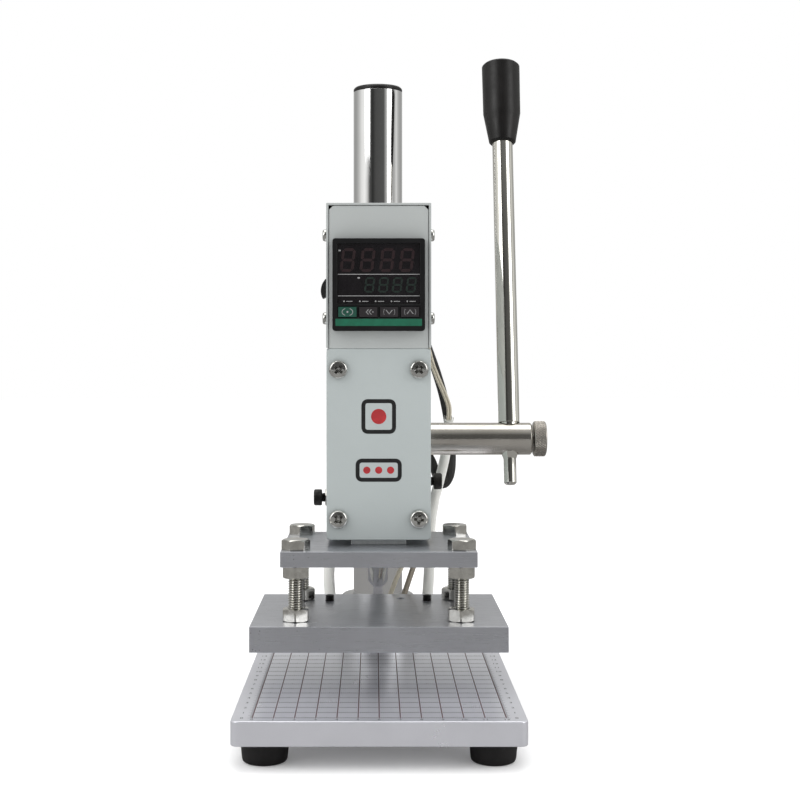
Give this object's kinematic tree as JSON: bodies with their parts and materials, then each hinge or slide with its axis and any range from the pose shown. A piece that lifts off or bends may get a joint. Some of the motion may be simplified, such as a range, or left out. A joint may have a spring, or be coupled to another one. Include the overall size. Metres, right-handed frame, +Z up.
{
  "type": "hot foil stamper",
  "caption": "Bench hot foil stamping press: a lever, rack and pinion push a heated plate down over a gridded base, under a boxed temperature controller.",
  "frame": {"origin": "centre of the bed, the top face of the base plate", "axes": "+Z up, at right angles to the bed, +Y back towards the column, +X right towards the lever"},
  "size_m": [0.1639, 0.245, 0.3719],
  "materials": {
    "base_anodised": "satin anodised",
    "rubber": "matte",
    "zinc_steel": "zinc plated",
    "turned_steel": "machined",
    "chrome": "polished",
    "nickel": "satin nickel plate",
    "black_steel": "black oxide",
    "black_plastic": "satin moulded",
    "head_paint": "fine powder coat",
    "box_paint": "powder coat",
    "bronze": "machined bronze",
    "machined_aluminium": "milled, ground faces",
    "ground_steel": "ground",
    "controller_plastic": "fine spark texture",
    "display_acrylic": "smoked gloss",
    "circuit_board": "solder mask",
    "key_plastic": "satin",
    "switch_plastic": "gloss moulded",
    "white_plastic": "moulded nylon",
    "white_sleeve": "woven fibreglass",
    "cream_insulation": "satin silicone",
    "steel_braid": "fine braid",
    "black_sheath": "matte PVC"
  },
  "bodies": {
    "base": {"base_plate": "base_anodised", "rubber_feet": "rubber", "foot_screws": "zinc_steel", "column_seat": "turned_steel", "seat_screws": "black_steel"},
    "column": {"column_tube": "chrome", "column_cap": "black_plastic", "column_plug": "zinc_steel", "column_bolt": "black_steel"},
    "head": {"head_body": "head_paint", "front_cover": "head_paint", "pan_screws": "zinc_steel", "guide_strip": "bronze", "pinion_bushes": "bronze", "lock_screws": "black_steel", "lock_nuts": "zinc_steel", "spring_pin_upper": "zinc_steel", "lead_clip": "white_plastic", "box_chassis": "box_paint", "box_cover": "box_paint", "box_screws": "zinc_steel", "chassis_screws": "zinc_steel", "cable_gland": "controller_plastic", "lead_grommets": "rubber", "controller_bezel": "controller_plastic", "controller_case": "controller_plastic", "display_window": "display_acrylic", "circuit_boards": "circuit_board", "terminal_block": "controller_plastic", "switch_housing": "switch_plastic", "return_spring": "zinc_steel", "heater_sleeves": "white_sleeve", "heater_wire": "cream_insulation", "thermocouple_lead": "cream_insulation", "earth_lead": "steel_braid", "sheathed_lead": "black_sheath"},
    "ram": {"ram": "ground_steel", "rack": "turned_steel", "rack_screws": "black_steel", "spring_pin_lower": "zinc_steel", "upper_plate": "machined_aluminium", "ram_screws": "black_steel", "levelling_bolts": "zinc_steel", "levelling_nuts": "zinc_steel", "heating_plate": "machined_aluminium", "cartridge_heaters": "turned_steel", "heater_screws": "black_steel"},
    "pinion": {"pinion_shaft": "nickel", "pinion_gear": "turned_steel", "gear_pin": "zinc_steel", "retaining_ring": "black_steel"},
    "lever": {"lever_rod": "chrome", "lever_grip": "black_plastic"},
    "knob": {"clamp_knob": "chrome", "clamp_screw": "zinc_steel"},
    "key_1": {"key_1": "key_plastic"},
    "key_2": {"key_2": "key_plastic"},
    "key_3": {"key_3": "key_plastic"},
    "key_4": {"key_4": "key_plastic"},
    "rocker": {"rocker": "switch_plastic"}
  },
  "joints": [
    {"name": "head_swing", "type": "hinge", "parent": "base", "child": "column", "pos_m": [0, 0.092, 0], "axis": [0, 0, 1], "range_deg": [-90, 90]},
    {"name": "head_height", "type": "slide", "parent": "column", "child": "head", "axis": [0, 0, 1], "range_m": [0, 0.1]},
    {"name": "lever_swing", "type": "hinge", "parent": "head", "child": "pinion", "pos_m": [0, 0.012, 0.1247], "axis": [1, 0, 0], "range_deg": [0, 105]},
    {"name": "ram_slide", "type": "slide", "parent": "head", "child": "ram", "axis": [0, 0, -1], "range_m": [0, 0.022], "stiffness_N_per_m": 1200, "springref_m": -0.03, "deforming": ["return_spring", "heater_sleeves", "thermocouple_lead", "earth_lead"]},
    {"name": "lever_reach", "type": "slide", "parent": "pinion", "child": "lever", "axis": [0, 0.2419, 0.9703], "range_m": [0, 0.02]},
    {"name": "knob_turn", "type": "hinge", "parent": "pinion", "child": "knob", "pos_m": [0.091, 0.012, 0.1247], "axis": [1, 0, 0], "range_deg": [-180, 0]},
    {"name": "key_1_press", "type": "slide", "parent": "head", "child": "key_1", "axis": [0, 1, 0], "range_m": [0, 0.0005], "stiffness_N_per_m": 400, "springref_m": -0.0005},
    {"name": "key_2_press", "type": "slide", "parent": "head", "child": "key_2", "axis": [0, 1, 0], "range_m": [0, 0.0005], "stiffness_N_per_m": 400, "springref_m": -0.0005},
    {"name": "key_3_press", "type": "slide", "parent": "head", "child": "key_3", "axis": [0, 1, 0], "range_m": [0, 0.0005], "stiffness_N_per_m": 400, "springref_m": -0.0005},
    {"name": "key_4_press", "type": "slide", "parent": "head", "child": "key_4", "axis": [0, 1, 0], "range_m": [0, 0.0005], "stiffness_N_per_m": 400, "springref_m": -0.0005},
    {"name": "rocker_tilt", "type": "hinge", "parent": "head", "child": "rocker", "pos_m": [-0.0233, 0.042, 0.209], "axis": [0, 1, 0], "range_deg": [-18, 0]}
  ],
  "couplings": [
    {"joint": "ram_slide", "follows": "lever_swing", "m_per_rad": 0.012}
  ]
}
